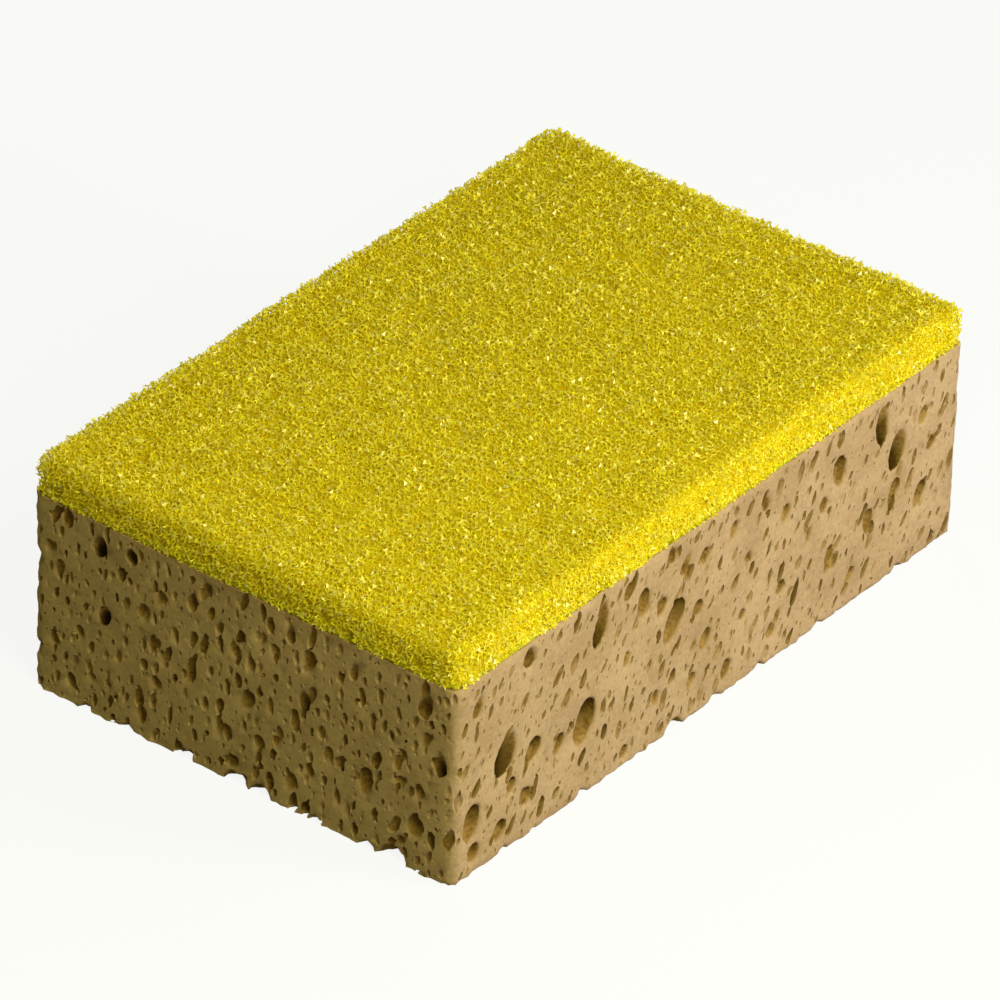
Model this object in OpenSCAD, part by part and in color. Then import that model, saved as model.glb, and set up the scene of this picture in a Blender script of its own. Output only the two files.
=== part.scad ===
// Two-layer cleaning sponge: a porous block with an open-cell scrub pad bonded over its whole top.
// Sizes are in millimetres. X runs along the long side, Z is up, and the block rests on Z = 0.

/* [Block] */

// Length of the block, and of the pad on it
block_length = 150; // [100:1:220]

// Width of the block, and of the pad on it
block_width = 98; // [70:1:140]

// Height of the block below the pad
block_height = 42; // [28:1:70]

// Rounding of the block's upright edges
block_corner_radius = 2.5; // [1:0.5:6]

/* [Pad] */

// Thickness of the pad
pad_thickness = 8; // [5:0.5:16]

// Rounding of the pad's top edge
pad_edge_radius = 2.5; // [1:0.5:2.5]

// Rounding of the pad's corners, seen from above
pad_corner_radius = 3; // [3:0.5:12]

// Spacing of the largest open cells in the pad's faces
cell_pitch = 7.3; // [6:0.1:12]

// Narrowest open cell
cell_width_min = 2.2; // [1.6:0.1:2.4]

// Widest open cell
cell_width_max = 3.4; // [2.4:0.1:3.6]

// Depth of an open cell, in cell widths
cell_depth = 0.38; // [0.25:0.01:0.45]

/* [Pores] */

// Size of every pore, against the sizes in the lists
pore_scale = 1; // [0.6:0.05:1.1]

// Depth of the middle of a pore's round end, in pore widths
pore_depth = 0.35; // [0.3:0.05:0.6]

// The same for the deep pores
deep_pore_depth = 0.8; // [0.6:0.05:1.2]

// Spacing of the scattered pores
scatter_pitch = 12; // [11:1:30]

// Narrowest scattered pore
scatter_width_min = 2; // [1.5:0.1:3]

// Widest scattered pore
scatter_width_max = 4.6; // [3:0.1:5]

// Height of a scattered pore, in pore widths
scatter_stretch = 1.8; // [1.2:0.1:2.2]

// Lean of the scattered pores, in degrees
scatter_lean = 20; // [0:1:40]

/* [Hidden] */

$fn = 32;

sponge_colour = "#cda87a";
pad_colour = "#d8c018";

// How far a bore starts outside its face
bore_lead = 0.6;

// Pores below this part of their face's height, in percent, rise as they go in, and the others fall
rise_limit = 85;
deep_rise_limit = 50;

// How far the cut that rounds a corner reaches past the corner
cut_margin = 1;

// How far a scattered pore may stray from the middle of its square, in squares
scatter_stray = 0.55;

// Shift of every other row of scattered pores, in squares
scatter_shift = 0.25;

// Seeds of the faces that have scattered pores
back_seed = 100;
right_seed = 300;
bottom_seed = 500;
pad_top_seed = 700;
pad_side_seed = 1100;

// A pore is listed as seen from outside its face: along the face in percent, up the face in percent,
// width, height, and lean of its top to the right in degrees.
front_pores = [
    [3.5, 26, 4.4, 8, 10],
    [4, 10, 3.2, 4.2, 25],
    [4.5, 86, 2.4, 5, 25],
    [9, 12, 3.2, 5, 20],
    [11, 31, 2.4, 4.2, 20],
    [14, 20, 3.2, 4.2, 0],
    [14, 93, 3.2, 4.4, 0],
    [15, 42, 3.8, 5.5, 30],
    [20, 35, 2.5, 5, 25],
    [25, 37, 5.6, 10, 15],
    [33, 6.5, 2.4, 3.2, 0],
    [33, 54, 1.8, 4.5, 5],
    [33, 91, 2.6, 4, 10],
    [36, 78, 3.4, 6.5, 5],
    [39, 23, 2, 4, 0],
    [39.5, 69, 2.4, 5, 30],
    [41.5, 94, 2.6, 3.6, 20],
    [42, 57, 4.6, 10, 28],
    [44.5, 85, 2.2, 6, 30],
    [46, 19, 2, 4, 30],
    [47, 55, 2.8, 4, 0],
    [48, 80, 2.5, 4, 0],
    [48.5, 36, 2.8, 5, 20],
    [53, 11, 2.6, 5, 20],
    [53.5, 83, 2, 5, 20],
    [56, 35, 2, 3, 0],
    [60, 87, 2.2, 3.5, 0],
    [62, 15, 2.4, 3.6, 0],
    [63.5, 35, 2.4, 3.5, 30],
    [64, 73, 2.2, 4.5, 20],
    [69, 51, 1.6, 5.5, 10],
    [72, 62, 2.4, 4, 0],
    [73.5, 31, 2.6, 7, 10],
    [75, 75, 3.8, 7.5, -5],
    [78, 15, 2.2, 4, 25],
    [81.5, 36, 2.8, 7, -5],
    [86.5, 43, 2.6, 6.5, 28],
    [92, 32, 3, 7, 25],
    [92, 74, 2.4, 4.5, 20],
    [94, 56, 2.6, 3.6, 30],
];

front_deep_pores = [
    [10, 51, 5.4, 8.6, 25],
    [28, 86, 3.4, 9.6, 18],
    [57, 65, 1.8, 3, 0],
    [83.5, 86, 3.6, 8.4, 0],
    [87, 67, 4.8, 8.4, 15],
];

left_pores = [
    [4.5, 75, 2, 4, 0],
    [5.5, 28, 2.2, 3.4, 0],
    [9.5, 10, 2.4, 4, 0],
    [11.5, 38, 2, 3.6, 0],
    [14.5, 18, 1.8, 2.6, 0],
    [18.5, 18, 1.8, 2.6, 0],
    [26.5, 11, 2.2, 4.4, 0],
    [27, 64, 2.2, 4.6, 5],
    [30, 31, 2.4, 3.2, 0],
    [31, 76, 2.2, 4.4, 25],
    [31.5, 46, 1.6, 4, 0],
    [38, 46, 2.4, 7, 15],
    [42, 93, 2.4, 3.2, 0],
    [45, 24, 2, 6, 5],
    [48, 10, 2.6, 3.6, 40],
    [48.5, 68, 2.4, 4, 0],
    [52.5, 64, 2.2, 4, 0],
    [54.5, 26, 2.6, 3.6, 0],
    [55, 80, 1.6, 4.4, 10],
    [58, 77, 2, 3.6, 0],
    [59, 34, 1.8, 6, 10],
    [61.5, 91, 2.2, 5, 0],
    [62, 14, 2.6, 5, 25],
    [66, 80, 2.8, 6.4, 10],
    [66.5, 24, 2.2, 4, 0],
    [71, 37, 2, 4.2, 0],
    [75.5, 14, 1.6, 5, 0],
    [76.5, 87, 2, 4.6, 10],
    [79.5, 33, 3.2, 7.5, 10],
    [87.5, 11, 1.8, 4.4, 35],
    [88, 56, 2, 3.4, 0],
    [87.5, 41, 2, 3.6, 0],
    [91, 22, 3.6, 5.6, 20],
    [92, 40, 2.2, 4.2, 0],
    [93, 87, 3, 7, 15],
    [93, 68, 1.8, 5, 20],
];

left_deep_pores = [
    [16.5, 89, 3, 5, 10],
    [17.5, 54, 2.8, 4.4, 10],
    [24, 91, 3, 3.4, 0],
    [51.5, 45, 3, 5.5, 25],
    [65, 60, 2.6, 4.6, 0],
    [96.5, 61, 2.8, 5.2, 0],
];

// Bites that pores take out of the block's edges: place along the edge in percent, and radius
front_bites = [[10, 1.2], [25, 1.4], [43, 2.4], [51, 1.6], [60, 1.5], [72, 1.2], [88, 1.4]];
left_bites = [[13, 1.2], [23, 1.3], [37, 1.9], [49, 2.4], [55, 2.2], [68, 1.3], [80, 1.4], [86, 3]];
back_left_bites = [[20, 2], [52, 1.6], [67, 2.4]];
back_right_bites = [[28, 2.8], [55, 2.6], [84, 1.8]];

function between(low, high, part) = low + (high - low) * part;

function even(count) = max(1, 2 * round(count / 2));

// One pore for every square of a face, in staggered rows, each strayed by its own seed
function scattered(
    length,
    height,
    seed,
    pitch = scatter_pitch,
    narrow = scatter_width_min,
    wide = scatter_width_max
) =
    let (columns = even(length / pitch), rows = even(height / pitch))
    [
        for (column = [0:columns - 1], row = [0:rows - 1])
            let (chance = rands(0, 1, 4, seed + column * rows + row))
            let (width = between(narrow, wide, pow(chance[2], 3)))
            let (shift = scatter_shift * (row % 2 - 0.5))
            [
                100 * (column + 0.5 + shift + scatter_stray * (chance[0] - 0.5)) / columns,
                100 * (row + 0.5 + scatter_stray * (chance[1] - 0.5)) / rows,
                width,
                width * scatter_stretch,
                scatter_lean * 2 * chance[3],
            ]
    ];

// A bubble that the saw has opened: a slanting bore with a round end. It meets its face in an oval,
// and rises or falls as it goes in.
module pore(width, height, lean, depth, rises) {
    slope = asin(width / height);
    run = depth * height;
    lead = height / 2 * cos(slope) + bore_lead;
    rotate([0, lean, 0])
        rotate([rises ? -slope : slope - 180, 0, 0])
            union() {
                translate([0, 0, -lead])
                    cylinder(d = width, h = lead + run);
                translate([0, 0, run])
                    sphere(d = width);
            }
}

// The pores of one face, in the face's own frame: X along it, Y into the block, Z up it
module pores(list, length, height, depth = pore_depth, limit = rise_limit) {
    for (row = list)
        translate([length * (row[0] / 100 - 0.5), 0, height * row[1] / 100])
            pore(pore_scale * row[2], pore_scale * row[3], row[4], depth, row[1] < limit);
}

module deep_pores(list, length, height) {
    pores(list, length, height, deep_pore_depth, deep_rise_limit);
}

// Bites along an edge of the given length that runs along X, with each ball's poles on the edge
module bites(list, length) {
    for (row = list)
        translate([length * (row[0] / 100 - 0.5), 0, 0])
            rotate([0, 90, 0])
                sphere(r = pore_scale * row[1]);
}

// The open cells of one face of the pad: balls that dip into the face, in the same frame as pores
module open_cells(length, height, seed) {
    for (row = scattered(length, height, seed, cell_pitch, cell_width_min, cell_width_max))
        translate([length * (row[0] / 100 - 0.5), (cell_depth - 0.5) * row[2], height * row[1] / 100])
            sphere(d = row[2]);
}

// Puts a side's frame on the side that a turn about Z gives it
module on_side(turn, reach) {
    rotate([0, 0, turn])
        translate([0, -reach, 0])
            children();
}

module rounded_rectangle(length, width, radius) {
    difference() {
        square([length, width], center = true);
        for (x = [-1, 1], y = [-1, 1])
            scale([x, y])
                translate([length / 2 - radius, width / 2 - radius])
                    difference() {
                        square(radius + cut_margin);
                        circle(r = radius);
                    }
    }
}

// Section of the pad's border: flat below and inside, with its top outer edge rounded
module border_section() {
    difference() {
        square([pad_corner_radius, pad_thickness]);
        translate([pad_corner_radius - pad_edge_radius, pad_thickness - pad_edge_radius])
            difference() {
                square(pad_edge_radius + cut_margin);
                circle(r = pad_edge_radius);
            }
    }
}

// A straight run of the border, along Y and centred, with its outside towards +X
module border_run(length) {
    translate([0, length / 2, 0])
        rotate([90, 0, 0])
            linear_extrude(length)
                border_section();
}

module sponge_block() {
    color(sponge_colour)
        difference() {
            linear_extrude(block_height)
                rounded_rectangle(block_length, block_width, block_corner_radius);
            on_side(0, block_width / 2) {
                pores(front_pores, block_length, block_height);
                deep_pores(front_deep_pores, block_length, block_height);
            }
            on_side(-90, block_length / 2) {
                pores(left_pores, block_width, block_height);
                deep_pores(left_deep_pores, block_width, block_height);
            }
            on_side(180, block_width / 2)
                pores(scattered(block_length, block_height, back_seed), block_length, block_height);
            on_side(90, block_length / 2)
                pores(scattered(block_width, block_height, right_seed), block_width, block_height);
            on_side(0, block_width / 2)
                bites(front_bites, block_length);
            on_side(-90, block_length / 2)
                bites(left_bites, block_width);
            for (x = [-1, 1])
                translate([x * block_length / 2, block_width / 2, block_height / 2])
                    rotate([0, -90, 0])
                        bites(x < 0 ? back_left_bites : back_right_bites, block_height);
            translate([0, block_width / 2, 0])
                rotate([90, 0, 0])
                    pores(scattered(block_length, block_width, bottom_seed), block_length, block_width);
        }
}

// The pad without its open cells, standing on Z = 0
module pad_slab(inner_length, inner_width) {
    translate([-inner_length / 2, -inner_width / 2, 0])
        cube([inner_length, inner_width, pad_thickness]);
    for (turn = [0, 180])
        rotate([0, 0, turn]) {
            translate([inner_length / 2, 0, 0])
                border_run(inner_width);
            rotate([0, 0, 90])
                translate([inner_width / 2, 0, 0])
                    border_run(inner_length);
            translate([inner_length / 2, inner_width / 2, 0])
                rotate_extrude(angle = 90)
                    border_section();
            translate([-inner_length / 2, inner_width / 2, 0])
                rotate([0, 0, 90])
                    rotate_extrude(angle = 90)
                        border_section();
        }
}

module scrub_pad() {
    inner_length = block_length - 2 * pad_corner_radius;
    inner_width = block_width - 2 * pad_corner_radius;
    side_height = pad_thickness - pad_edge_radius;
    color(pad_colour)
        translate([0, 0, block_height])
            difference() {
                pad_slab(inner_length, inner_width);
                translate([0, -inner_width / 2, pad_thickness])
                    rotate([-90, 0, 0])
                        open_cells(inner_length, inner_width, pad_top_seed);
                for (turn = [0, 180]) {
                    on_side(turn, block_width / 2)
                        open_cells(inner_length, side_height, pad_side_seed + turn);
                    on_side(turn + 90, block_length / 2)
                        open_cells(inner_width, side_height, pad_side_seed + turn + 90);
                }
            }
}

sponge_block();
scrub_pad();
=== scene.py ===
# %% [markdown]
# # A two-layer grout sponge
#
# The real object is a block cut from tan cellulose sponge, with a layer of coarse yellow scrub foam
# bonded over its whole top. The block is full of leaning, oval pores, from pinholes to holes that a
# pencil would fit in. The foam is a net of glossy plastic strands with hardly anything in between.
#
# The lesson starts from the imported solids, which have the true size and the main pores, and dresses
# them: the block gets its finer pores and its soft, uneven skin, and the pad becomes a net of strands.

# %% Load the frame
import math

import bmesh
import bpy
import numpy as np
from mathutils import Euler, Matrix, Vector, noise
from mathutils.bvhtree import BVHTree


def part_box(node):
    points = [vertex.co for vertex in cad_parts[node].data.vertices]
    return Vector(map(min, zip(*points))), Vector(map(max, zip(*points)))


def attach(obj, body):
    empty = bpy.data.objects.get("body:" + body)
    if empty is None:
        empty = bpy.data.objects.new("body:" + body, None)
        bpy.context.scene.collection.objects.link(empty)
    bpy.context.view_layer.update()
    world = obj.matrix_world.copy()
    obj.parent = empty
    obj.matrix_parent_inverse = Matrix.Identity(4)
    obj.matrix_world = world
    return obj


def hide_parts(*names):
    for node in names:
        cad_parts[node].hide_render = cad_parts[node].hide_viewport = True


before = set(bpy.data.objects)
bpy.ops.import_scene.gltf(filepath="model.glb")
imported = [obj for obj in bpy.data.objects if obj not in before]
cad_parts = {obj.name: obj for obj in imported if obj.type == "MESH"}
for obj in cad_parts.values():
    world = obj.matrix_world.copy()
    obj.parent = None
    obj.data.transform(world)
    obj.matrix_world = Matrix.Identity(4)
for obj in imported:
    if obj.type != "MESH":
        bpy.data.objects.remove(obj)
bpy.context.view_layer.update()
MM = 0.001

block_low, block_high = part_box("sponge_block")
pad_low, pad_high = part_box("scrub_pad")
block_size = block_high - block_low
pad_size = pad_high - pad_low
print("block in mm:", [round(side / MM, 1) for side in block_size])
print("pad in mm:", [round(side / MM, 1) for side in pad_size])

# %% [markdown]
# ## Camera
#
# The photograph was taken with a long lens: lines that are parallel on the sponge stay nearly
# parallel in the picture. The camera therefore stands almost two metres away with a narrow view.
# Its place is given as an angle round the sponge, an angle above it and a small roll, because
# these are the numbers one would turn on a real tripod.

# %% Place the camera
CAMERA_TURN = math.radians(-52.4)
CAMERA_RISE = math.radians(33.8)
CAMERA_ROLL = math.radians(1.7)
CAMERA_DISTANCE = 1766 * MM
CAMERA_AIM = Vector((0, 0, 25 * MM))
FARTHEST_SEEN = 20
PICTURE_SIDE = 1000
PIXELS_PER_MM = 5.46
AIM_PIXEL = (502.6, 492.4)
SENSOR_MM = 36

camera_data = bpy.data.cameras.new("camera")
camera = bpy.data.objects.new("camera", camera_data)
bpy.context.scene.collection.objects.link(camera)
bpy.context.scene.camera = camera

towards_camera = Vector((
    math.sin(CAMERA_TURN) * math.cos(CAMERA_RISE),
    -math.cos(CAMERA_TURN) * math.cos(CAMERA_RISE),
    math.sin(CAMERA_RISE),
))
camera.location = CAMERA_AIM + towards_camera * CAMERA_DISTANCE
upright = towards_camera.to_track_quat("Z", "Y").to_matrix()
camera.rotation_euler = (upright @ Matrix.Rotation(CAMERA_ROLL, 3, "Z")).to_euler()
camera_data.sensor_width = SENSOR_MM
camera_data.lens = PIXELS_PER_MM * CAMERA_DISTANCE / MM / PICTURE_SIDE * SENSOR_MM
camera_data.shift_x = (PICTURE_SIDE / 2 - AIM_PIXEL[0]) / PICTURE_SIDE
camera_data.shift_y = (AIM_PIXEL[1] - PICTURE_SIDE / 2) / PICTURE_SIDE
camera_data.clip_end = FARTHEST_SEEN
print("lens in mm:", round(camera_data.lens))

# %% [markdown]
# ## Helpers
#
# A few small helpers are used again and again. One makes an object out of a mesh, one takes a merged
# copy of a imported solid, and one works out all the modifiers of an object and keeps the result. With
# it, two more give an object an even mesh and thin that mesh out. Modifiers do the heavy steps here
# because they are fast and give the same mesh on each run.

# %% Define the helpers
SAME_PLACE = 0.001 * MM


def new_object(name, mesh):
    made = bpy.data.objects.new(name, mesh)
    bpy.context.scene.collection.objects.link(made)
    return made


def merged_copy(node, name):
    """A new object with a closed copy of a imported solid's mesh."""
    mesh = bpy.data.meshes.new(name)
    shape = bmesh.new()
    shape.from_mesh(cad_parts[node].data)
    bmesh.ops.remove_doubles(shape, verts=shape.verts, dist=SAME_PLACE)
    shape.to_mesh(mesh)
    shape.free()
    return new_object(name, mesh)


def keep_modifiers(made):
    """Replaces an object's mesh by what its modifiers make of it."""
    graph = bpy.context.evaluated_depsgraph_get()
    mesh = bpy.data.meshes.new_from_object(made.evaluated_get(graph))
    made.modifiers.clear()
    old = made.data
    made.data = mesh
    bpy.data.meshes.remove(old)


def triangles(made):
    made.data.calc_loop_triangles()
    return len(made.data.loop_triangles)


def remesh(made, voxel):
    """Gives an object an even mesh of small squares."""
    step = made.modifiers.new("remesh", "REMESH")
    step.mode = "VOXEL"
    step.voxel_size = voxel
    keep_modifiers(made)
    print(made.name, "remeshed:", triangles(made), "triangles")


def thin_out(made, most, all_triangles=False):
    """Leaves an object about as many triangles as are wanted at most."""
    step = made.modifiers.new("thin", "DECIMATE")
    step.use_collapse_triangulate = all_triangles
    step.ratio = min(1, most / triangles(made))
    keep_modifiers(made)
    print(made.name, "thinned out:", triangles(made), "triangles")


# %% [markdown]
# ## The block
#
# A real block is sawn from a larger slab, so its faces are flat but not smooth: the saw leaves the
# thin walls between pores a little torn, and the edges nibbled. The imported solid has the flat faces
# and the main pores. A voxel remesh turns its long, thin triangles into an even skin that can be
# pushed about, and a decimation afterwards saves the triangles for the finer pores.

# %% Remesh the block
SKIN_VOXEL = 0.6 * MM

sponge = merged_copy("sponge_block", "sponge")
remesh(sponge, SKIN_VOXEL)

# %% [markdown]
# ## Torn skin
#
# Each corner of the skin is pushed by three noises: a slow one that sways the faces, a fine one that
# tears them, and a strong one that nibbles the edges only. A corner lies near an edge when it is
# close to two faces at once, so the second smallest of its distances to the faces says how near.
# A Displace modifier would push along the normals alone, and could not tell edges from faces.
# Vector noise starts from the clock unless it gets a seed, so a seed is set first.

# %% Make the skin uneven
SKIN_TRIANGLES = 60000
SWAY = 0.18 * MM
SWAY_LENGTH = 4.5 * MM
TEAR = 0.12 * MM
TEAR_LENGTH = 1.3 * MM
NIBBLE = 0.55 * MM
NIBBLE_LENGTH = 1.7 * MM
NIBBLE_REACH = 1.6 * MM
SKIN_SEED = 1

noise.seed_set(SKIN_SEED)
half_long = block_size.x / 2
half_short = block_size.y / 2
tall = block_size.z

for vertex in sponge.data.vertices:
    place = vertex.co.copy()
    _, to_edge, _ = sorted((half_long - abs(place.x), half_short - abs(place.y), place.z))
    edge = max(0, 1 - to_edge / NIBBLE_REACH)
    vertex.co += SWAY * noise.noise_vector(place / SWAY_LENGTH)
    vertex.co += TEAR * noise.noise_vector(place / TEAR_LENGTH)
    vertex.co += edge * NIBBLE * noise.noise_vector(place / NIBBLE_LENGTH)
    vertex.co.z = min(max(vertex.co.z, block_low.z), block_high.z)

thin_out(sponge, SKIN_TRIANGLES)

# %% [markdown]
# ## Finer pores
#
# Each finer pore is a dented ball, stretched upwards and leaned over. One ball is made with an
# operator and then copied with its own size, lean and dents. The pores of one size are strewn over
# each face one to a cell of a grid, at a chance place in the cell, so that they spread evenly and yet
# do not stand in rows. On the long sides they lean more, and at the ends they are plumper, because
# the sponge was cut along the grain there and across it here. The underside has fewer.

# %% List the faces and the pore sizes
LEAN_LONG = 24
LEAN_SHORT = 10
SPACING_LONG = 1.05
SPACING_SHORT = 0.9
SPACING_UNDER = 1.25
PLUMP_SHORT = 1.2

EAST = Vector((1, 0, 0))
NORTH = Vector((0, 1, 0))
UP = Vector((0, 0, 1))
# Each face: the middle of its lower edge, its direction, its way up, its length and height,
# and the lean, spacing and plumpness of its pores
block_faces = [
    (-half_short * NORTH, EAST, UP, 2 * half_long, tall, LEAN_LONG, SPACING_LONG, 1),
    (half_short * NORTH, -EAST, UP, 2 * half_long, tall, LEAN_LONG, SPACING_LONG, 1),
    (-half_long * EAST, -NORTH, UP, 2 * half_short, tall, LEAN_SHORT, SPACING_SHORT, PLUMP_SHORT),
    (half_long * EAST, NORTH, UP, 2 * half_short, tall, LEAN_SHORT, SPACING_SHORT, PLUMP_SHORT),
    (half_short * NORTH, EAST, -NORTH, 2 * half_long, 2 * half_short, LEAN_LONG, SPACING_UNDER, 1),
]
# Each size: the cell's width and height, the narrowest and widest pore, the least and most stretch,
# and the ball's subdivisions
pore_sizes = [
    (4.2 * MM, 6.4 * MM, 1.0 * MM, 2.2 * MM, 1.8, 3.0, 2),
    (3.4 * MM, 4.6 * MM, 0.6 * MM, 1.3 * MM, 1.6, 2.8, 2),
    (2.6 * MM, 3.2 * MM, 0.4 * MM, 0.7 * MM, 1.2, 2.2, 1),
]
print(len(pore_sizes), "sizes of pores on", len(block_faces), "faces")

# %% Strew the pores of one size
SEED = 11
LEAN_SPREAD = 14
PLACE_SPREAD = 0.6
DENTS = 0.2
PORE_DEPTH = 0.55
LEAST_SUNK = -0.2
SUNK_SPREAD = 0.5

random = np.random.default_rng(SEED)


def ball(subdivisions):
    """Corners and faces of a ball of radius 1, as arrays."""
    shape = bmesh.new()
    bmesh.ops.create_icosphere(shape, subdivisions=subdivisions, radius=1)
    corners = np.array([corner.co for corner in shape.verts])
    faces = np.array([[corner.index for corner in face.verts] for face in shape.faces])
    shape.free()
    return corners, faces


def strewn_pores(cell_width, cell_height, narrow, wide, least, most, subdivisions):
    """One mesh with a dented, leaning ball in each cell of each face of the block."""
    corners, faces = ball(subdivisions)
    all_corners = []
    all_faces = []
    for middle, along, up, length, height, lean, spacing, plump in block_faces:
        way_in = up.cross(along)
        columns = int(length / cell_width / spacing)
        rows = int(height / cell_height / spacing)
        for column in range(columns):
            for row in range(rows):
                chance = random.random(6)
                width = plump * (narrow + (wide - narrow) * chance[0] ** 2)
                reach = width / plump * (least + (most - least) * chance[1])
                across = ((column + 0.5 + PLACE_SPREAD * (chance[2] - 0.5)) / columns - 0.5) * length
                rise = (row + 0.5 + PLACE_SPREAD * (chance[3] - 0.5)) / rows * height
                turn = math.radians(lean + LEAN_SPREAD * (2 * chance[4] - 1))
                sunk = width * (LEAST_SUNK + SUNK_SPREAD * chance[5])
                side = along * math.cos(turn) - up * math.sin(turn)
                top = along * math.sin(turn) + up * math.cos(turn)
                centre = middle + along * across + up * rise + way_in * sunk
                axes = np.array([side * width / 2, way_in * width * PORE_DEPTH, top * reach / 2])
                dented = corners * (1 + DENTS * random.uniform(-1, 1, (len(corners), 1)))
                all_faces.append(faces + len(corners) * len(all_corners))
                all_corners.append(dented @ axes + np.array(centre))
    mesh = bpy.data.meshes.new("pores")
    mesh.from_pydata(np.concatenate(all_corners).tolist(), [], np.concatenate(all_faces).tolist())
    return mesh, len(all_corners)


# %% [markdown]
# ## Cutting
#
# The pores are cut out of the block with a Boolean, one size after the other, coarse to fine. Its
# Manifold solver is used because it is quick and always gives a closed mesh. A finer pore may break
# into a coarser one, as on the real sponge, where the bubbles met while the foam was still soft.

# %% Cut the finer pores
for pore_size in pore_sizes:
    mesh, count = strewn_pores(*pore_size)
    cutter = new_object("cutter", mesh)
    cut = sponge.modifiers.new("pores", "BOOLEAN")
    cut.operation = "DIFFERENCE"
    cut.solver = "MANIFOLD"
    cut.object = cutter
    keep_modifiers(sponge)
    bpy.data.objects.remove(cutter)
    print(count, "pores cut:", triangles(sponge), "triangles")

# %% [markdown]
# ## Thinning and crumbs
#
# The cuts leave more than twice as many triangles as the block may have, so it is thinned. Two kinds
# of leftovers are then dropped. Thinning leaves a few stray faces: some hang on the mesh by one edge
# only, and some lie back to back on the same corners. And where pores break into one another, the
# cuts leave a crumb that hangs in the air, or a bubble that is closed on all sides. The real sponge
# is washed at the works, and nobody sees the bubbles, so the mesh is walked from corner to corner,
# and only the part with the most corners is kept. Smooth shading stops at the rims of the pores,
# which stay crisp.

# %% Thin the cut block and drop what is left over
SPONGE_TRIANGLES = 194000


def stray_faces(shape):
    """Faces with an open edge, and faces that share all their corners with another."""
    alike = {}
    for face in shape.faces:
        alike.setdefault(frozenset(face.verts), []).append(face)
    strays = {face for faces in alike.values() if len(faces) > 1 for face in faces}
    strays |= {face for edge in shape.edges if edge.is_boundary for face in edge.link_faces}
    return list(strays)


def joined_parts(shape):
    """Lists of corners that hang together, the longest list last."""
    unseen = set(shape.verts)
    parts = []
    while unseen:
        part = []
        reached = [unseen.pop()]
        while reached:
            corner = reached.pop()
            part.append(corner)
            near = {edge.other_vert(corner) for edge in corner.link_edges} & unseen
            unseen -= near
            reached.extend(near)
        parts.append(part)
    return sorted(parts, key=len)


thin_out(sponge, SPONGE_TRIANGLES, all_triangles=True)
shape = bmesh.new()
shape.from_mesh(sponge.data)
strays = stray_faces(shape)
bmesh.ops.delete(shape, geom=strays, context="FACES")
*crumbs, _ = joined_parts(shape)
for crumb in crumbs:
    bmesh.ops.delete(shape, geom=crumb, context="VERTS")
odd_edges = sum(not edge.is_manifold for edge in shape.edges)
shape.to_mesh(sponge.data)
shape.free()
print(len(strays), "stray faces and", len(crumbs), "crumbs dropped;", odd_edges, "odd edges left")

# %% Shade the block
SHARP_EDGE = math.radians(50)

sponge.data.shade_smooth()
sponge.data.set_sharp_from_angle(angle=SHARP_EDGE)
print("sponge:", triangles(sponge), "triangles")

# %% [markdown]
# ## The scrub pad
#
# Scrub foam is blown like any other foam, and then the skins of its bubbles are burnt away. What is
# left is the net of edges where bubbles met. The cell that fills space with the least skin is a cube
# and an octahedron cut into each other, so the net here is made of the edges of such cells, turned
# out of line with the pad and pulled about at random.
#
# Only the outer layer of the net can be seen. Below it lies a core, a little smaller than the pad,
# that lets light through as the deeper strands would, so that the rim of the pad glows.
#
# To know which strands lie in the outer layer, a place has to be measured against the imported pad,
# with its rounded edges and the open cells in its top. A BVH tree finds the nearest point of the
# skin for each place. The underside is left out of it, because no net is needed there.

# %% Measure how deep a place lies in the pad
UNDERSIDE_TILT = -0.9

pad_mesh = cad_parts["scrub_pad"].data
pad_corners = [corner.co for corner in pad_mesh.vertices]
pad_faces = [list(face.vertices) for face in pad_mesh.polygons if face.normal.z > UNDERSIDE_TILT]
pad_skin = BVHTree.FromPolygons(pad_corners, pad_faces)
pad_middle = np.array((pad_low + pad_high) / 2)
pad_half = np.array(pad_size) / 2


def depth_in_pad(places):
    """How far places lie below the pad's sides and top. Places outside have a depth below zero."""
    depths = np.empty(len(places))
    for index, place in enumerate(places):
        nearest, normal, _, distance = pad_skin.find_nearest(place)
        depths[index] = math.copysign(distance, normal.dot(nearest - Vector(place)))
    return depths


def distance_to_side(places):
    """How far places lie inside the pad's four sides, without their rounding."""
    return (pad_half[:2] - np.abs(places[:, :2] - pad_middle[:2])).min(1)


print(len(pad_faces), "faces in the skin of the pad")

# %% [markdown]
# ## One cube of cells
#
# Such cells repeat in cubes. One cube has twelve corners, a quarter of its side away from the middles
# of its faces, and any two corners that lie nearest to each other are joined by an edge. The corners
# of the neighbouring cubes are looked at too, and each edge is listed once.

# %% Make the edges of one cube of cells
quarter = [(0, 0.25, 0.5), (0, 0.75, 0.5), (0, 0.5, 0.25), (0, 0.5, 0.75)]
cell_corners = np.array([np.roll(corner, turn) for turn in range(3) for corner in quarter])
steps = np.array([(x, y, z) for x in (-1, 0, 1) for y in (-1, 0, 1) for z in (-1, 0, 1)])
edge_length = math.sqrt(2) / 4
cell_edges = []
for first in range(len(cell_corners)):
    for step in steps:
        apart = np.linalg.norm(cell_corners + step - cell_corners[first], axis=1)
        for second in np.flatnonzero(np.isclose(apart, edge_length)):
            if (tuple(step), second) > ((0, 0, 0), first):
                cell_edges.append((first, second, *step))
print(len(cell_corners), "corners and", len(cell_edges), "edges in each cube of cells")

# %% [markdown]
# ## Cells all over the pad
#
# The cubes are set side by side in a turned grid that covers the pad, and every corner is pulled a
# little way at random. A corner has one place however many edges meet in it, so the net stays joined.
# Numpy does this for all cubes at once, which is much quicker than a loop or an Array modifier.

# %% Fill the pad with cells
CELL = 1.65 * MM
NET_TURN = (0.35, 0.61, 0.87)
PULL = 0.08
NET_SEED = 5

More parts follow.
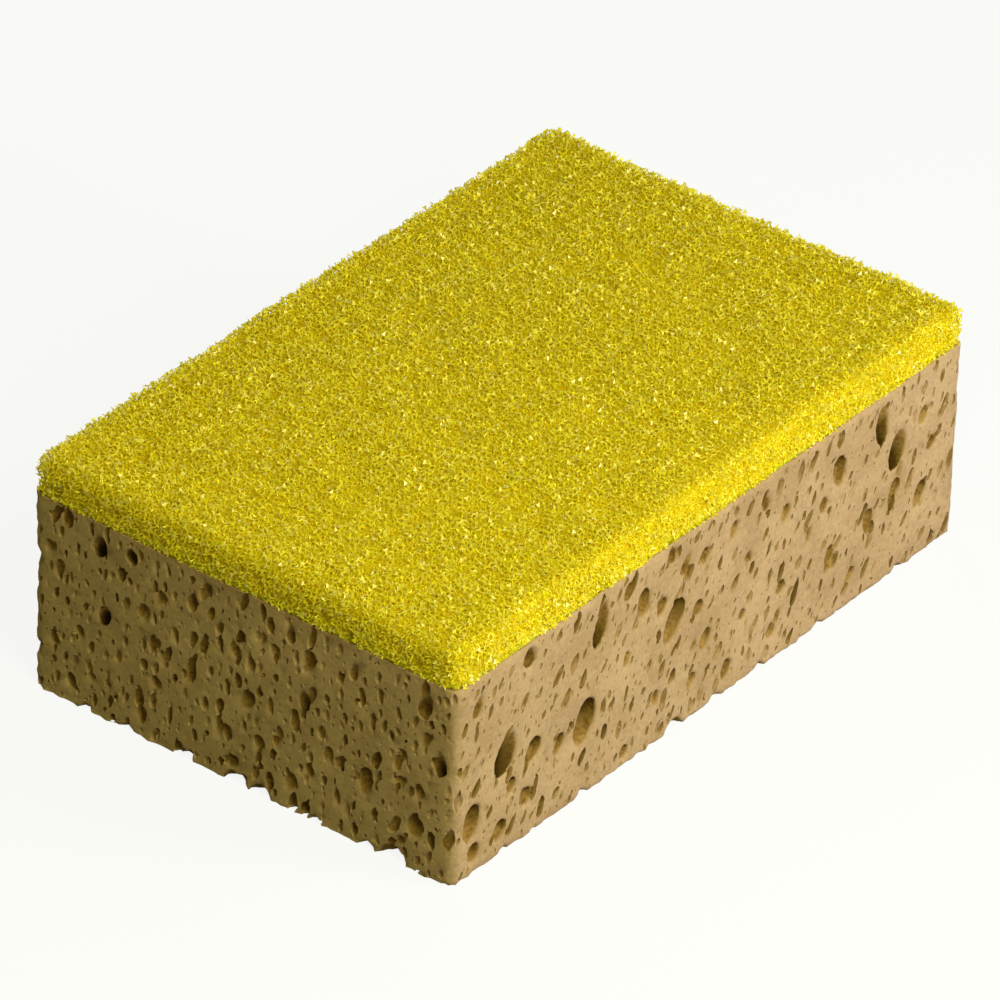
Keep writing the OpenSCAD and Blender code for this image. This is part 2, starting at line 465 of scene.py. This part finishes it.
net_random = np.random.default_rng(NET_SEED)
turn = np.array(Euler(NET_TURN).to_matrix())
reach = int(np.linalg.norm(pad_size) / CELL / 2) + 2
grid = np.stack(np.meshgrid(*[np.arange(-reach, reach)] * 3, indexing="ij"), -1).reshape(-1, 3)
cube_middles = (grid + 0.5) @ turn.T * CELL
cubes = grid[(np.abs(cube_middles) < pad_half + CELL).all(1)]
number = np.full((2 * reach + 2,) * 3, -1)
number[tuple((cubes + reach).T)] = np.arange(len(cubes))

corners = (cubes[:, None] + cell_corners).reshape(-1, 3)
corners = corners + net_random.normal(0, PULL, corners.shape)
corners = corners @ turn.T * CELL + pad_middle
starts = []
ends = []
for first, second, *step in cell_edges:
    there = number[tuple((cubes + step + reach).T)]
    meets = there >= 0
    starts.append(np.flatnonzero(meets) * len(cell_corners) + first)
    ends.append(there[meets] * len(cell_corners) + second)
starts = corners[np.concatenate(starts)]
ends = corners[np.concatenate(ends)]
print(len(cubes), "cubes of cells with", len(starts), "edges")

# %% [markdown]
# ## The outer layer
#
# Edges that lie too deep are dropped, and so are those that stick out of the pad. A slow noise and
# a fine one move that limit up and down, because the real foam is cut with a hot wire that leaves
# some strands standing and tears others off. At the seam the net ends just above the block.

# %% Keep the outer layer of the net
NET_DEPTH = 1.4 * MM
RIM_DEPTH = 1.7 * MM
CELL_REACH = 2.7 * MM
SEAM = 0.15 * MM
SHORTEST = 0.1 * MM
WAVE = 0.25 * MM
WAVE_LENGTH = 13 * MM
FRAY = 0.5 * MM
FRAY_LENGTH = 1.7 * MM

middles = (starts + ends) / 2
outer = (distance_to_side(middles) < RIM_DEPTH) | (middles[:, 2] > pad_high.z - CELL_REACH)
outer &= np.maximum(starts[:, 2], ends[:, 2]) > pad_low.z + SEAM
starts = starts[outer]
ends = ends[outer]
starts[:, 2] = np.maximum(starts[:, 2], pad_low.z + SEAM)
ends[:, 2] = np.maximum(ends[:, 2], pad_low.z + SEAM)
middles = (starts + ends) / 2
depth = depth_in_pad(middles)
rough = [WAVE * noise.noise(Vector(place) / WAVE_LENGTH) for place in middles]
torn = [FRAY * noise.noise(Vector(place) / FRAY_LENGTH) for place in middles]
deepest = np.where(distance_to_side(middles) < RIM_DEPTH, RIM_DEPTH, NET_DEPTH)
kept = (depth + rough + torn > 0) & (depth < deepest)
kept &= np.linalg.norm(ends - starts, axis=1) > SHORTEST
starts = starts[kept]
ends = ends[kept]
depth = depth[kept]
print(len(starts), "strands")

# %% [markdown]
# ## Strands and films
#
# A strand is three-sided on the real foam and thickest where it joins its neighbours. A sliver with
# four corners has that look with only four triangles: it is a short line across one end and a short
# line across the other, at right angles to it. Its ends overlap those of its neighbours.
#
# Some windows of the net keep a rest of the bubble's skin. Such a film is a sliver too, but wide and
# thin, and lies near the surface. Its flat sides catch the light, and the pad sparkles.

# %% Make the strands and the films
STRAND_WIDTH = 0.36 * MM
STRAND_SPREAD = 0.25
FILM_SHARE = 0.5
FILM_DEPTH = 0.35 * MM
FILM_WIDTH = 1.0 * MM
FILM_THICKNESS = 0.12 * MM
FILM_LENGTH = 0.7 * MM
OVERLAP = 0.06 * MM

shape = bmesh.new()
for corner in ((-0.5, 0, 0), (0.5, 0, 0), (0, -0.5, 1), (0, 0.5, 1)):
    shape.verts.new(corner)
bmesh.ops.convex_hull(shape, input=shape.verts)
bmesh.ops.recalc_face_normals(shape, faces=shape.faces)
shape.verts.index_update()
sliver = np.array([corner.co for corner in shape.verts])
sliver_faces = np.array([[corner.index for corner in face.verts] for face in shape.faces])
shape.free()


def slivers(starts, along, length, width, thickness):
    """The corners of one sliver for each start, four to a sliver."""
    side = np.cross(along, net_random.normal(size=along.shape))
    side /= np.linalg.norm(side, axis=1, keepdims=True)
    across = np.cross(along, side)
    whole = length + 2 * OVERLAP
    made = np.stack([
        starts + side * width * x + across * thickness * y + along * (z * whole - OVERLAP)
        for x, y, z in sliver
    ], 1)
    made[..., 2] = np.maximum(made[..., 2], pad_low.z)
    return made


along = ends - starts
length = np.linalg.norm(along, axis=1, keepdims=True)
along /= length
width = STRAND_WIDTH * net_random.uniform(1 - STRAND_SPREAD, 1 + STRAND_SPREAD, length.shape)
strand_corners = slivers(starts, along, length, width, width)

filmed = (net_random.random(len(starts)) < FILM_SHARE) & (depth < FILM_DEPTH)
film_starts = starts[filmed] - along[filmed] * FILM_LENGTH / 2
film_corners = slivers(film_starts, along[filmed], FILM_LENGTH, FILM_WIDTH, FILM_THICKNESS)
print(len(strand_corners), "strands and", len(film_corners), "films")

# %% [markdown]
# ## Pieces of the net
#
# One mesh with all strands would be heavy to handle, so they are sorted along the pad and shared out
# among four pieces. The films are a piece of their own, because they have another finish.
#
# Each sliver keeps two numbers in its UV map, a chance tint and its depth, and its finish is drawn
# from these, so that the finish follows the strand and not the place that it happens to lie in.

# %% Part the net into pieces
STRAND_PIECES = 4
BAKE_MAP = "OFBake"
MAP_SPREAD = 0.01


def net_piece(name, corners, depth):
    """An object with slivers, each with a chance tint and its depth in a UV map."""
    tint = net_random.uniform(MAP_SPREAD, 1 - MAP_SPREAD, len(corners))
    sunk = np.clip(depth / NET_DEPTH, MAP_SPREAD, 1 - MAP_SPREAD)
    spread = MAP_SPREAD * np.array([(-1, -1), (1, -1), (-1, 1), (1, 1)])
    in_map = (np.stack([tint, sunk], 1)[:, None] + spread).reshape(-1, 2)
    first_corners = len(sliver) * np.arange(len(corners))
    faces = (sliver_faces + first_corners[:, None, None]).reshape(-1, 3)
    mesh = bpy.data.meshes.new(name)
    mesh.from_pydata(corners.reshape(-1, 3).tolist(), [], faces.tolist())
    mapped = mesh.uv_layers.new(name=BAKE_MAP)
    mapped.uv.foreach_set("vector", in_map[faces.ravel()].astype(np.float32).ravel())
    print(name, "has", len(faces), "triangles")
    return new_object(name, mesh)


order = np.argsort(starts[:, 0])
strands = []
for part, chosen in enumerate(np.array_split(order, STRAND_PIECES)):
    strands.append(net_piece(f"pad_strands_{part + 1}", strand_corners[chosen], depth[chosen]))
films = net_piece("pad_films", film_corners, depth[filmed])

# %% [markdown]
# ## Core
#
# The core fills what lies below the net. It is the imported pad, remeshed and drawn in along its own
# surface, with a dimple for each deeper cell, and drawn in a little further at the sides, where the
# net is left deeper so that light shines through the rim. At its foot it is drawn in less, so that
# no gap shows between the net and the block.

# %% Make the core
CORE_VOXEL = 0.7 * MM
CORE_DEPTH = 0.9 * MM
CORE_TRIANGLES = 80000
CORE_CELL = 1.1 * MM
CORE_BUMP = 0.45 * MM
CORE_INSET = 1.3 * MM
FOOT_HEIGHT = 1.6 * MM
FOOT_SHARE = 0.3

core = merged_copy("scrub_pad", "pad_core")
remesh(core, CORE_VOXEL)
normals = [vertex.normal.copy() for vertex in core.data.vertices]
for vertex, normal in zip(core.data.vertices, normals):
    lift = min(1, (vertex.co.z - pad_low.z) / FOOT_HEIGHT)
    drawn = FOOT_SHARE + (1 - FOOT_SHARE) * max(0, lift)
    if normal.z > UNDERSIDE_TILT:
        distance = noise.voronoi(vertex.co / CORE_CELL)[0]
        vertex.co -= normal * drawn * (CORE_DEPTH + CORE_BUMP * (1 - distance[0]))
    half_x = pad_half[0] - drawn * CORE_INSET
    half_y = pad_half[1] - drawn * CORE_INSET
    vertex.co.x = min(max(vertex.co.x, -half_x), half_x)
    vertex.co.y = min(max(vertex.co.y, -half_y), half_y)
    vertex.co.z = max(vertex.co.z, pad_low.z)
thin_out(core, CORE_TRIANGLES)

# %% [markdown]
# ## Mottled colours
#
# Neither the sponge nor the foam has one flat colour: broad patches and fine specks run into each
# other. Both are made in the same way, so the way is a node group: a coarse noise and a fine noise are
# added, and their sum mixes a dark colour with a light one. The group puts out the mixed colour and
# the sum, and the shader itself stays in each material.

# %% Define the mottle group
MOTTLE_LEAST = 0.75
MOTTLE_MOST = 1.25


def node_in(tree, kind, place, **values):
    node = tree.nodes.new(kind)
    node.location = place
    for name, value in values.items():
        setattr(node, name, value)
    return node


def mottle_group():
    """Two colours mixed by a coarse and a fine noise."""
    group = bpy.data.node_groups.new("mottle", "ShaderNodeTree")
    sockets = group.interface
    sockets.new_socket("Vector", in_out="INPUT", socket_type="NodeSocketVector")
    sockets.new_socket("Coarse", in_out="INPUT", socket_type="NodeSocketFloat")
    sockets.new_socket("Fine", in_out="INPUT", socket_type="NodeSocketFloat")
    sockets.new_socket("Dark", in_out="INPUT", socket_type="NodeSocketColor")
    sockets.new_socket("Light", in_out="INPUT", socket_type="NodeSocketColor")
    sockets.new_socket("Color", in_out="OUTPUT", socket_type="NodeSocketColor")
    sockets.new_socket("Value", in_out="OUTPUT", socket_type="NodeSocketFloat")
    given = node_in(group, "NodeGroupInput", (-600, 0))
    coarse = node_in(group, "ShaderNodeTexNoise", (-400, 120))
    fine = node_in(group, "ShaderNodeTexNoise", (-400, -120))
    both = node_in(group, "ShaderNodeMath", (-200, 0), operation="ADD")
    spread = node_in(group, "ShaderNodeMapRange", (0, 0))
    spread.inputs["From Min"].default_value = MOTTLE_LEAST
    spread.inputs["From Max"].default_value = MOTTLE_MOST
    mixed = node_in(group, "ShaderNodeMix", (200, 0), data_type="RGBA")
    put = node_in(group, "NodeGroupOutput", (400, 0))
    link = group.links.new
    link(given.outputs["Vector"], coarse.inputs["Vector"])
    link(given.outputs["Vector"], fine.inputs["Vector"])
    link(given.outputs["Coarse"], coarse.inputs["Scale"])
    link(given.outputs["Fine"], fine.inputs["Scale"])
    link(coarse.outputs["Fac"], both.inputs[0])
    link(fine.outputs["Fac"], both.inputs[1])
    link(both.outputs["Value"], spread.inputs["Value"])
    link(spread.outputs["Result"], mixed.inputs["Factor"])
    link(given.outputs["Dark"], mixed.inputs["A"])
    link(given.outputs["Light"], mixed.inputs["B"])
    link(mixed.outputs["Result"], put.inputs["Color"])
    link(spread.outputs["Result"], put.inputs["Value"])
    return group


mottle = mottle_group()
print("mottle group:", len(mottle.nodes), "nodes")

# %% [markdown]
# ## Depth below the skin
#
# A pore is browner the deeper one looks into it. This brown is painted shade, since light reaches only
# its mouth. The depth could be painted or baked, but it is also plain geometry: how far a place lies
# inside a box with rounded corners. The group below works that out from the place itself, so that it
# follows any pore that is cut, at any size. The top is left out, since the pad covers it.

# %% Define the depth group
BLOCK_CORNER = 2.5 * MM


def depth_group(half_x, half_y, corner):
    """How deep a place lies below the sides and the underside of a block with rounded corners."""
    group = bpy.data.node_groups.new("depth", "ShaderNodeTree")
    group.interface.new_socket("Vector", in_out="INPUT", socket_type="NodeSocketVector")
    group.interface.new_socket("Depth", in_out="OUTPUT", socket_type="NodeSocketFloat")
    given = node_in(group, "NodeGroupInput", (-1100, 0))
    size = node_in(group, "ShaderNodeVectorMath", (-900, 0), operation="ABSOLUTE")
    beyond = node_in(group, "ShaderNodeVectorMath", (-700, 0), operation="SUBTRACT")
    beyond.inputs[1].default_value = (half_x - corner, half_y - corner, 0)
    level = node_in(group, "ShaderNodeVectorMath", (-500, 150), operation="MULTIPLY")
    level.inputs[1].default_value = (1, 1, 0)
    clipped = node_in(group, "ShaderNodeVectorMath", (-300, 150), operation="MAXIMUM")
    clipped.inputs[1].default_value = (0, 0, 0)
    outside = node_in(group, "ShaderNodeVectorMath", (-100, 150), operation="LENGTH")
    apart = node_in(group, "ShaderNodeSeparateXYZ", (-500, -150))
    farthest = node_in(group, "ShaderNodeMath", (-300, -150), operation="MAXIMUM")
    inside = node_in(group, "ShaderNodeMath", (-100, -150), operation="MINIMUM")
    inside.inputs[1].default_value = 0
    both = node_in(group, "ShaderNodeMath", (100, 0), operation="ADD")
    sides = node_in(group, "ShaderNodeMath", (300, 0), operation="SUBTRACT")
    sides.inputs[0].default_value = corner
    height = node_in(group, "ShaderNodeSeparateXYZ", (300, -200))
    least = node_in(group, "ShaderNodeMath", (500, 0), operation="MINIMUM")
    put = node_in(group, "NodeGroupOutput", (700, 0))
    link = group.links.new
    link(given.outputs["Vector"], size.inputs[0])
    link(size.outputs["Vector"], beyond.inputs[0])
    link(beyond.outputs["Vector"], level.inputs[0])
    link(level.outputs["Vector"], clipped.inputs[0])
    link(clipped.outputs["Vector"], outside.inputs[0])
    link(beyond.outputs["Vector"], apart.inputs["Vector"])
    link(apart.outputs["X"], farthest.inputs[0])
    link(apart.outputs["Y"], farthest.inputs[1])
    link(farthest.outputs["Value"], inside.inputs[0])
    link(outside.outputs["Value"], both.inputs[0])
    link(inside.outputs["Value"], both.inputs[1])
    link(both.outputs["Value"], sides.inputs[1])
    link(given.outputs["Vector"], height.inputs["Vector"])
    link(sides.outputs["Value"], least.inputs[0])
    link(height.outputs["Z"], least.inputs[1])
    link(least.outputs["Value"], put.inputs["Depth"])
    return group


depth_below_skin = depth_group(half_long, half_short, BLOCK_CORNER)
print("depth group:", len(depth_below_skin.nodes), "nodes")

# %% [markdown]
# ## The block's finish
#
# Dry cellulose is matt, so the shader is rough and hardly glossy. Its skin is mottled tan. Below the
# skin the tan gives way to a mottled brown, and far down to a brown that is nearly black; both browns
# are painted shade in the pores. The limit is uneven: the same mottle that colours the brown also
# shifts the depth at which it starts. A fine bump adds the grain that is too small to model.

# %% Start the block's finish with its skin
TAN_DARK = (0.345, 0.222, 0.118, 1)
TAN_LIGHT = (0.445, 0.30, 0.17, 1)
TAN_PATCH = 9 * MM
TAN_SPECK = 0.8 * MM
SPONGE_ROUGHNESS = 0.92
SPONGE_GLOSS = 0.15


def new_finish(name, roughness, gloss):
    """A material with nothing in its node tree but a Principled shader and its output."""
    finish = bpy.data.materials.new(name)
    finish.use_nodes = True
    shader = finish.node_tree.nodes["Principled BSDF"]
    shader.inputs["Roughness"].default_value = roughness
    shader.inputs["Specular IOR Level"].default_value = gloss
    return finish, finish.node_tree, shader


def mottled(tree, place, where, patch, speck, dark, light):
    """A mottle group, set up with the sizes of its patches and specks and its two colours."""
    node = node_in(tree, "ShaderNodeGroup", place, node_tree=mottle)
    node.inputs["Coarse"].default_value = 1 / patch
    node.inputs["Fine"].default_value = 1 / speck
    node.inputs["Dark"].default_value = dark
    node.inputs["Light"].default_value = light
    tree.links.new(where.outputs["Object"], node.inputs["Vector"])
    return node


sponge_finish, tree, shader = new_finish("sponge", SPONGE_ROUGHNESS, SPONGE_GLOSS)
link = tree.links.new
where = node_in(tree, "ShaderNodeTexCoord", (-1500, 0))
tan = mottled(tree, (-900, 200), where, TAN_PATCH, TAN_SPECK, TAN_DARK, TAN_LIGHT)
print("skin of the block:", TAN_DARK[:3], "to", TAN_LIGHT[:3])

# %% Paint shade into the pores
# Painted shade in the pores: a mottled brown below the skin and a nearly black brown far down.
PORE_SHADE_DARK = (0.145, 0.07, 0.009, 1)
PORE_SHADE_LIGHT = (0.31, 0.185, 0.055, 1)
PORE_PATCH = 2.5 * MM
PORE_SPECK = 0.6 * MM
PORE_SHADE_SHIFT = 0.25 * MM
PORE_SHADE_DEPTHS = (0.3 * MM, 0.85 * MM)
DEEP_PORE_SHADE = (0.055, 0.025, 0.005, 1)
DEEP_SHADE_DEPTHS = (1.2 * MM, 4.5 * MM)

depth = node_in(tree, "ShaderNodeGroup", (-1300, -200), node_tree=depth_below_skin)
link(where.outputs["Object"], depth.inputs["Vector"])
brown = mottled(tree, (-900, -100), where, PORE_PATCH, PORE_SPECK, PORE_SHADE_DARK, PORE_SHADE_LIGHT)
# The mottle shifts the depth at which the painted shade starts, so its edge is uneven.
shifted_depth = node_in(tree, "ShaderNodeMath", (-700, -200), operation="MULTIPLY_ADD")
shifted_depth.inputs[1].default_value = PORE_SHADE_SHIFT
link(brown.outputs["Value"], shifted_depth.inputs[0])
link(depth.outputs["Depth"], shifted_depth.inputs[2])


def mixed_by_depth(colour, depths):
    """A Mix node that goes from a colour to its second one between two depths."""
    reached = node_in(tree, "ShaderNodeMapRange", (-500, -200), interpolation_type="SMOOTHSTEP")
    reached.inputs["From Min"].default_value = depths[0]
    reached.inputs["From Max"].default_value = depths[1]
    link(shifted_depth.outputs["Value"], reached.inputs["Value"])
    mix = node_in(tree, "ShaderNodeMix", (-300, 0), data_type="RGBA")
    link(reached.outputs["Result"], mix.inputs["Factor"])
    link(colour, mix.inputs["A"])
    return mix


in_pores = mixed_by_depth(tan.outputs["Color"], PORE_SHADE_DEPTHS)
link(brown.outputs["Color"], in_pores.inputs["B"])
deep_down = mixed_by_depth(in_pores.outputs["Result"], DEEP_SHADE_DEPTHS)
deep_down.inputs["B"].default_value = DEEP_PORE_SHADE
link(deep_down.outputs["Result"], shader.inputs["Base Color"])
print("brown in mm below the skin:", [round(limit / MM, 2) for limit in PORE_SHADE_DEPTHS])

# %% Add the grain
GRAIN = 0.5 * MM
GRAIN_DETAIL = 3
GRAIN_HEIGHT = 0.12 * MM
GRAIN_STRENGTH = 0.5

grain = node_in(tree, "ShaderNodeTexNoise", (-500, -600))
grain.inputs["Scale"].default_value = 1 / GRAIN
grain.inputs["Detail"].default_value = GRAIN_DETAIL
link(where.outputs["Object"], grain.inputs["Vector"])
bump = node_in(tree, "ShaderNodeBump", (-200, -600))
bump.inputs["Strength"].default_value = GRAIN_STRENGTH
bump.inputs["Distance"].default_value = GRAIN_HEIGHT
link(grain.outputs["Fac"], bump.inputs["Height"])
link(bump.outputs["Normal"], shader.inputs["Normal"])
sponge.data.materials.clear()
sponge.data.materials.append(sponge_finish)
print("block's finish:", len(tree.nodes), "nodes")

# %% [markdown]
# ## The net's finish
#
# The strands are clear yellow plastic. Light goes in on one side and comes out on the other, which
# subsurface scattering shows well, and the surface is glossy. The films have the same colour, but
# their glints are nearly white, as the sparkles on the real pad are. Depth makes a strand a little
# darker and more olive, which is painted shade for the deeper strands, and the chance tint makes it a
# little duller than its neighbours.

# %% Finish the strands and the films
STRAND_YELLOW = (0.97, 0.80, 0.014, 1)
# A darker olive, painted shade for the deeper strands.
STRAND_SHADED_OLIVE = (0.93, 0.73, 0.01, 1)
STRAND_GLINT = (1, 0.88, 0.2, 1)
STRAND_ROUGHNESS = 0.35
FILM_GLINT = (1, 0.97, 0.75, 1)
FILM_ROUGHNESS = 0.4
NET_GLOSS = 1
GLOW = 0.65
GLOW_COLOURS = (1, 0.9, 0.1)
GLOW_REACH = 0.8 * MM
DULLEST = 0.92


def net_finish(name, roughness, glint):
    """Clear yellow plastic, its tint and depth taken from the UV map."""
    finish, tree, shader = new_finish(name, roughness, NET_GLOSS)
    shader.inputs["Specular Tint"].default_value = glint
    shader.inputs["Subsurface Weight"].default_value = GLOW
    shader.inputs["Subsurface Radius"].default_value = GLOW_COLOURS
    shader.inputs["Subsurface Scale"].default_value = GLOW_REACH
    link = tree.links.new
    numbers = node_in(tree, "ShaderNodeUVMap", (-900, 0), uv_map=BAKE_MAP)
    apart = node_in(tree, "ShaderNodeSeparateXYZ", (-700, 0))
    link(numbers.outputs["UV"], apart.inputs["Vector"])
    colour = node_in(tree, "ShaderNodeMix", (-300, 0), data_type="RGBA")
    # Painted shade: the deeper a strand lies, the more it is mixed towards the darker olive.
    colour.inputs["A"].default_value = STRAND_YELLOW
    colour.inputs["B"].default_value = STRAND_SHADED_OLIVE
    link(apart.outputs["Y"], colour.inputs["Factor"])
    shade = node_in(tree, "ShaderNodeMapRange", (-500, -250))
    shade.inputs["To Min"].default_value = DULLEST
    shade.inputs["To Max"].default_value = 1
    link(apart.outputs["X"], shade.inputs["Value"])
    tinted = node_in(tree, "ShaderNodeHueSaturation", (-100, 0))
    link(shade.outputs["Result"], tinted.inputs["Value"])
    link(colour.outputs["Result"], tinted.inputs["Color"])
    link(tinted.outputs["Color"], shader.inputs["Base Color"])
    return finish


strand_finish = net_finish("strands", STRAND_ROUGHNESS, STRAND_GLINT)
for piece in strands:
    piece.data.materials.append(strand_finish)
films.data.materials.append(net_finish("films", FILM_ROUGHNESS, FILM_GLINT))
print(len(strands), "pieces of strands and one of films are finished")

# %% [markdown]
# ## The core's finish
#
# The core stands for many strands at once, so it has no gloss of its own and its light spreads for
# millimetres before it comes out again. That spreading is what makes the rims of the pad brighter
# than its top.

# %% Finish the core
CORE_DARK = (0.83, 0.62, 0.006, 1)
CORE_LIGHT = (0.96, 0.75, 0.01, 1)
CORE_PATCH = 7 * MM
CORE_SPECK = 0.5 * MM
CORE_ROUGHNESS = 0.6
CORE_GLOSS = 0.1
CORE_GLOW_COLOURS = (1, 0.85, 0.1)
CORE_GLOW_REACH = 4 * MM

core_finish, tree, shader = new_finish("core", CORE_ROUGHNESS, CORE_GLOSS)
shader.inputs["Subsurface Weight"].default_value = 1
shader.inputs["Subsurface Radius"].default_value = CORE_GLOW_COLOURS
shader.inputs["Subsurface Scale"].default_value = CORE_GLOW_REACH
where = node_in(tree, "ShaderNodeTexCoord", (-900, 0))
murk = mottled(tree, (-500, 0), where, CORE_PATCH, CORE_SPECK, CORE_DARK, CORE_LIGHT)
tree.links.new(murk.outputs["Color"], shader.inputs["Base Color"])
core.data.materials.append(core_finish)
print("core's finish:", len(tree.nodes), "nodes")

# %% [markdown]
# ## Light
#
# The photograph has one strong lamp low in front, which lights the long side fully and grazes the
# pad. A weaker, yellower lamp, high in front on the left, lights the end of the block from above, so
# that its pores have dark upper rims, and brightens the pad's left edge. A third one, low behind the
# sponge, hardly shows from the front and is there for views of the back. The world adds a little
# yellow light from all round, as a table and walls would.

# %% Light the sponge
KEY_PLACE = (0.18, -0.52, 0.15)
KEY_POWER = 2.72
KEY_COLOUR = (1, 1, 1)
FILL_PLACE = (-0.20, -0.28, 0.36)
FILL_POWER = 1.28
FILL_COLOUR = (0.97, 1, 0.48)
BACK_PLACE = (0.32, 0.50, 0.12)
BACK_POWER = 0.9
BACK_COLOUR = (1, 1, 0.85)
LAMP_SIZE = 0.2


def area_light(name, place, power, colour):
    lamp = bpy.data.lights.new(name, "AREA")
    lamp.shape = "DISK"
    lamp.size = LAMP_SIZE
    lamp.energy = power
    lamp.color = colour
    made = bpy.data.objects.new(name, lamp)
    made.location = place
    made.rotation_euler = (Vector(place) - CAMERA_AIM).to_track_quat("Z", "Y").to_euler()
    bpy.context.scene.collection.objects.link(made)
    print(name, "lamp:", power, "W")


area_light("key", KEY_PLACE, KEY_POWER, KEY_COLOUR)
area_light("fill", FILL_PLACE, FILL_POWER, FILL_COLOUR)
area_light("back", BACK_PLACE, BACK_POWER, BACK_COLOUR)

# %% [markdown]
# ## White surroundings
#
# The background is white, but white walls that shone on the sponge would wash out its shadows. The
# world therefore looks white only to the camera and in reflections, and gives dim light otherwise.
# The Light Path node tells these apart.

# %% Set up the world
AMBIENT = 0.23
AMBIENT_COLOUR = (0.95, 1, 0.22, 1)


def seen_directly(tree):
    """1 for what the camera sees, straight or in a reflection, and 0 for light that bounces."""
    path = node_in(tree, "ShaderNodeLightPath", (-800, 300))
    total = path.outputs["Is Camera Ray"]
    for name in ("Is Glossy Ray", "Is Transmission Ray"):
        either = node_in(tree, "ShaderNodeMath", (-600, 300), operation="MAXIMUM")
        tree.links.new(total, either.inputs[0])
        tree.links.new(path.outputs[name], either.inputs[1])
        total = either.outputs["Value"]
    return total


world = bpy.data.worlds.new("studio")
bpy.context.scene.world = world
world.use_nodes = True
tree = world.node_tree
link = tree.links.new
tree.nodes.clear()
white = node_in(tree, "ShaderNodeBackground", (-200, 100))
white.inputs["Color"].default_value = (1, 1, 1, 1)
ambient = node_in(tree, "ShaderNodeBackground", (-200, -100))
ambient.inputs["Color"].default_value = AMBIENT_COLOUR
ambient.inputs["Strength"].default_value = AMBIENT
mixed = node_in(tree, "ShaderNodeMixShader", (0, 0))
put = node_in(tree, "ShaderNodeOutputWorld", (200, 0))
link(seen_directly(tree), mixed.inputs["Fac"])
link(ambient.outputs["Background"], mixed.inputs[1])
link(white.outputs["Background"], mixed.inputs[2])
link(mixed.outputs["Shader"], put.inputs["Surface"])
print("ambient light:", AMBIENT)

# %% [markdown]
# ## Floor
#
# The floor is as white as the background to the camera, and yet it takes the sponge's shadow: most of
# it glows, and the rest is a plain matt white that can darken. To all other light it is a dim grey,
# so that it throws little light back up. It lies a hair below the sponge, and belongs to the stage.

# %% Lay the floor
FLOOR_SIDE = 6
FLOOR_DROP = 0.05 * MM
FLOOR_GLOW = 0.88
FLOOR_WHITE = (0.9, 0.9, 0.9, 1)
FLOOR_GREY = (0.3, 0.3, 0.3, 1)

mesh = bpy.data.meshes.new("floor")
shape = bmesh.new()
bmesh.ops.create_grid(shape, x_segments=1, y_segments=1, size=FLOOR_SIDE / 2)
bmesh.ops.translate(shape, verts=shape.verts, vec=(0, 0, block_low.z - FLOOR_DROP))
shape.to_mesh(mesh)
shape.free()
floor = new_object("floor", mesh)

floor_finish = bpy.data.materials.new("floor")
floor_finish.use_nodes = True
tree = floor_finish.node_tree
link = tree.links.new
tree.nodes.clear()
dim = node_in(tree, "ShaderNodeBsdfDiffuse", (-300, -200))
dim.inputs["Color"].default_value = FLOOR_GREY
pale = node_in(tree, "ShaderNodeBsdfDiffuse", (-500, 100))
pale.inputs["Color"].default_value = FLOOR_WHITE
glow = node_in(tree, "ShaderNodeEmission", (-500, 0))
lit = node_in(tree, "ShaderNodeMixShader", (-300, 50))
lit.inputs["Fac"].default_value = FLOOR_GLOW
mixed = node_in(tree, "ShaderNodeMixShader", (-100, 0))
put = node_in(tree, "ShaderNodeOutputMaterial", (100, 0))
link(pale.outputs["BSDF"], lit.inputs[1])
link(glow.outputs["Emission"], lit.inputs[2])
link(seen_directly(tree), mixed.inputs["Fac"])
link(dim.outputs["BSDF"], mixed.inputs[1])
link(lit.outputs["Shader"], mixed.inputs[2])
link(mixed.outputs["Shader"], put.inputs["Surface"])
floor.data.materials.append(floor_finish)
print("floor:", FLOOR_SIDE, "m wide")

# %% [markdown]
# ## Tying the pieces to the model
#
# The pieces are tied to the imported model: all of them ride on its one body, the dressed block takes
# the place of the imported block, and the core takes that of the imported pad. The colours are shown as
# they are written, with the Standard view.

# %% Tie the pieces to the model
bpy.context.scene.view_settings.view_transform = "Standard"
for piece in (sponge, core, films, *strands):
    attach(piece, "root")
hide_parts("sponge_block")
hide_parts("scrub_pad")
